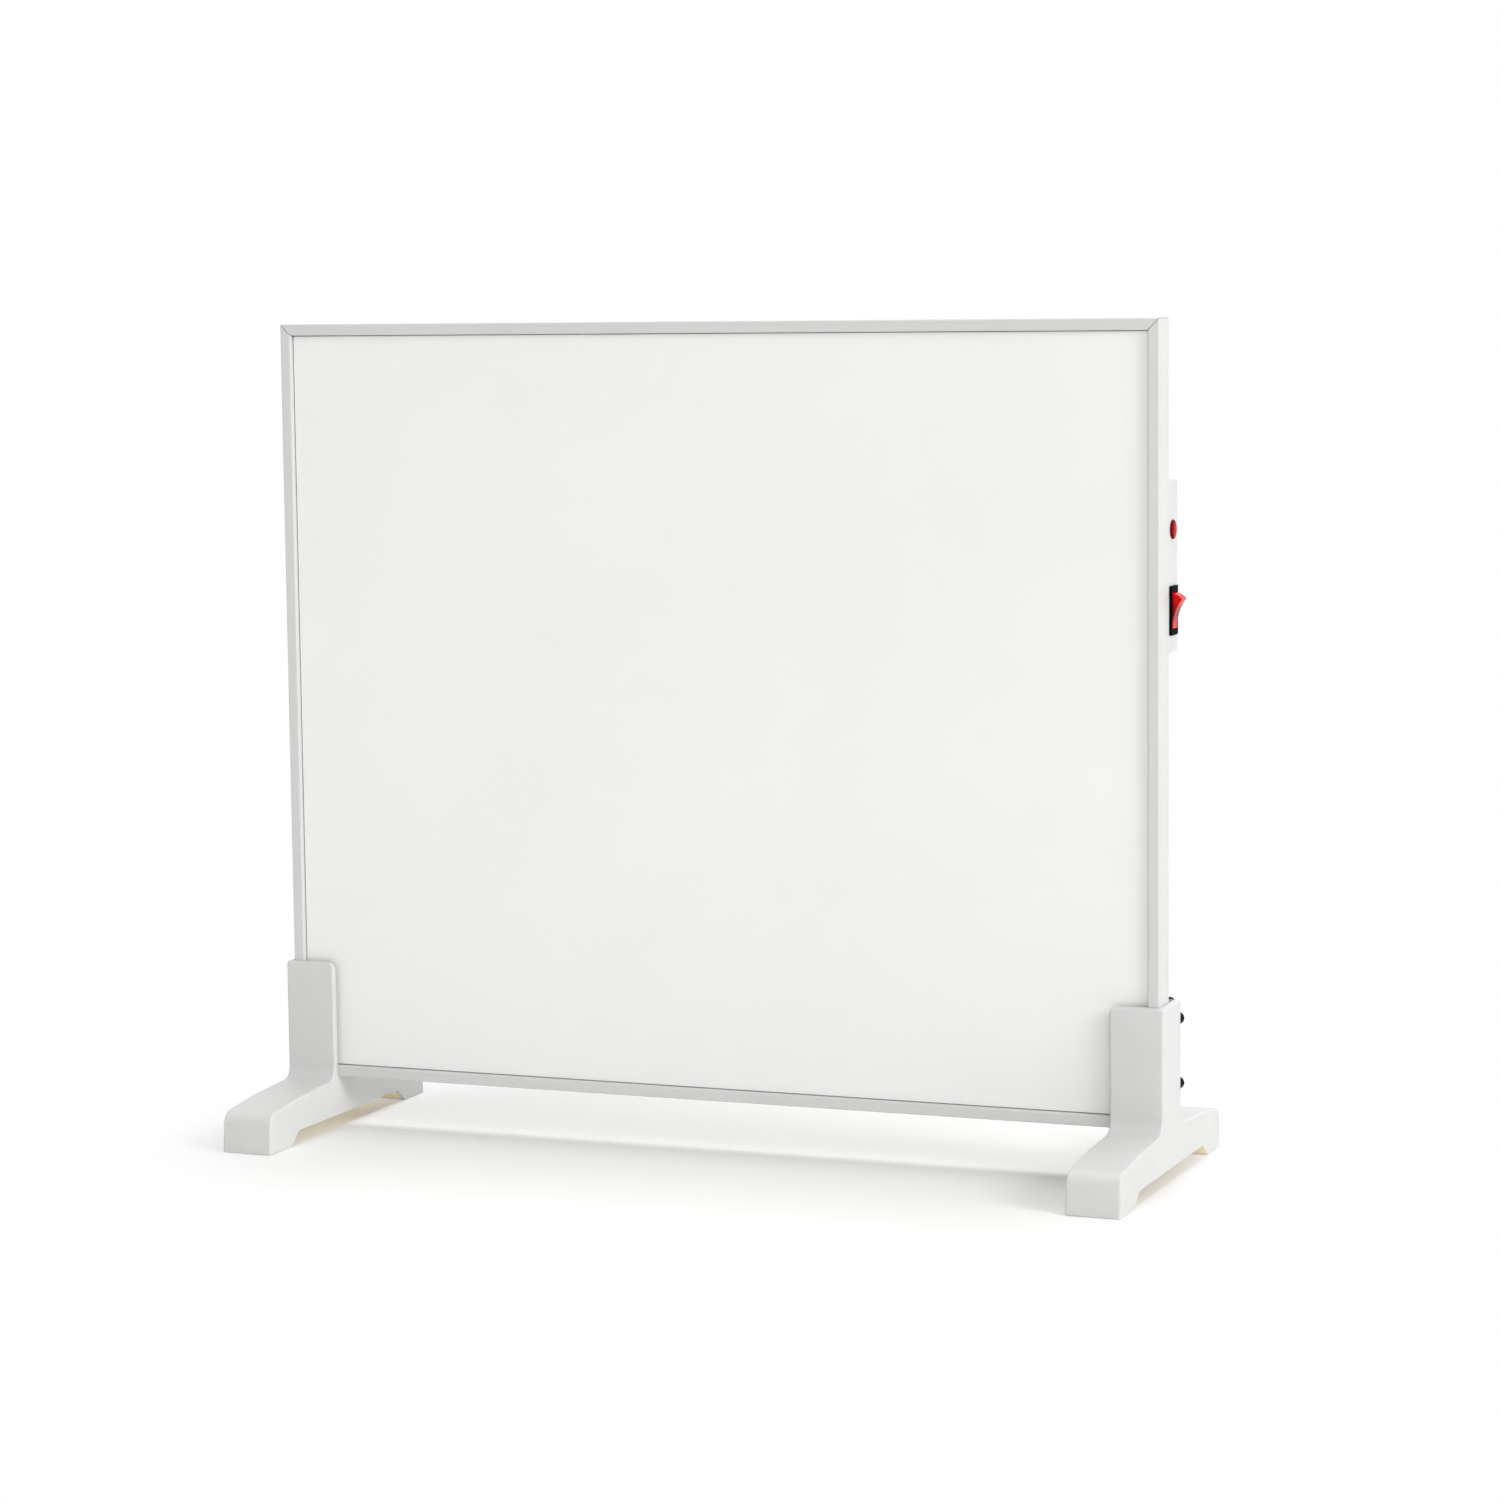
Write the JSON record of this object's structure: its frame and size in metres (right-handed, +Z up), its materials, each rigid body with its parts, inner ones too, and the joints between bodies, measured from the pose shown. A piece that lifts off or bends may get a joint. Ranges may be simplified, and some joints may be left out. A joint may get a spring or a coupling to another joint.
{
  "type": "infrared panel heater",
  "caption": "Thin framed white infrared heating panel on two T-shaped feet, with a switch box, red rocker switch and red lamp on the back edge.",
  "frame": {"origin": "on the floor, in the middle of the box around the whole heater", "axes": "+Z up, the heating face looks towards -Y, +X to the right of someone who faces the heating face"},
  "size_m": [0.6166, 0.228, 0.54],
  "materials": {
    "white_coated_frame": "white powder coat on folded steel, fine satin",
    "white_coated_sheet": "smooth matt white baked coating on steel sheet",
    "white_plastic": "moulded white ABS, satin",
    "gland_nylon": "moulded white nylon, satin",
    "black_grip": "moulded black nylon grip, satin",
    "black_plastic": "moulded black nylon, light sheen",
    "red_translucent": "clear red polycarbonate, glossy",
    "zinc_steel": "zinc plated",
    "brass_tab": "stamped brass",
    "nickel_nut": "nickel plated",
    "carbon_film": "printed carbon film between polyester sheets",
    "aluminium_foil": "bright rolled foil",
    "glass_wool": "pressed glass wool board",
    "ivory_nylon": "moulded ivory nylon",
    "glazed_ceramic": "glazed steatite",
    "rubber": "moulded black rubber",
    "red_wire": "silicone wire insulation",
    "blue_wire": "silicone wire insulation"
  },
  "bodies": {
    "heater": {"back_cover": "white_coated_sheet", "box_base": "white_coated_sheet", "box_housing": "white_plastic", "box_screw_lower_inner": "zinc_steel", "box_screw_lower_outer": "zinc_steel", "box_screw_upper_inner": "zinc_steel", "box_screw_upper_outer": "zinc_steel", "corner_key_bottom_left": "zinc_steel", "corner_key_bottom_right": "zinc_steel", "corner_key_top_left": "zinc_steel", "corner_key_top_right": "zinc_steel", "cover_screw_bottom_1": "zinc_steel", "cover_screw_bottom_2": "zinc_steel", "cover_screw_left_1": "zinc_steel", "cover_screw_left_2": "zinc_steel", "cover_screw_right_1": "zinc_steel", "cover_screw_right_2": "zinc_steel", "cover_screw_top_1": "zinc_steel", "cover_screw_top_2": "zinc_steel", "foot_clamp_left": "white_plastic", "foot_clamp_right": "white_plastic", "foot_clamp_screw_left": "black_grip", "foot_clamp_screw_right": "black_grip", "foot_pad_front_left": "rubber", "foot_pad_front_right": "rubber", "foot_pad_rear_left": "rubber", "foot_pad_rear_right": "rubber", "foot_screw_lower_left": "black_grip", "foot_screw_lower_right": "black_grip", "foot_screw_upper_left": "black_grip", "foot_screw_upper_right": "black_grip", "foot_shell_left": "white_plastic", "foot_shell_right": "white_plastic", "frame_bottom": "white_coated_frame", "frame_left": "white_coated_frame", "frame_right": "white_coated_frame", "frame_top": "white_coated_frame", "front_panel": "white_coated_sheet", "gland_body": "gland_nylon", "gland_cap_nut": "gland_nylon", "gland_locknut": "gland_nylon", "gland_seal": "rubber", "heating_film": "carbon_film", "insulation_board": "glass_wool", "lamp_body": "black_plastic", "lamp_lens": "red_translucent", "lamp_nut": "nickel_nut", "reflector_foil": "aluminium_foil", "switch_body": "black_plastic", "switch_terminal_1": "brass_tab", "switch_terminal_2": "brass_tab", "switch_terminal_3": "brass_tab", "terminal_block": "ivory_nylon", "thermal_cutout": "glazed_ceramic", "wire_element": "red_wire", "wire_live": "red_wire", "wire_neutral": "blue_wire", "wire_switched": "red_wire"},
    "rocker": {"switch_rocker": "red_translucent"}
  },
  "joints": [
    {"name": "rocker_press", "type": "hinge", "parent": "heater", "child": "rocker", "pos_m": [0.2993, 0.0143, 0.35865], "axis": [0, 1, 0], "range_deg": [-36, 0]}
  ]
}
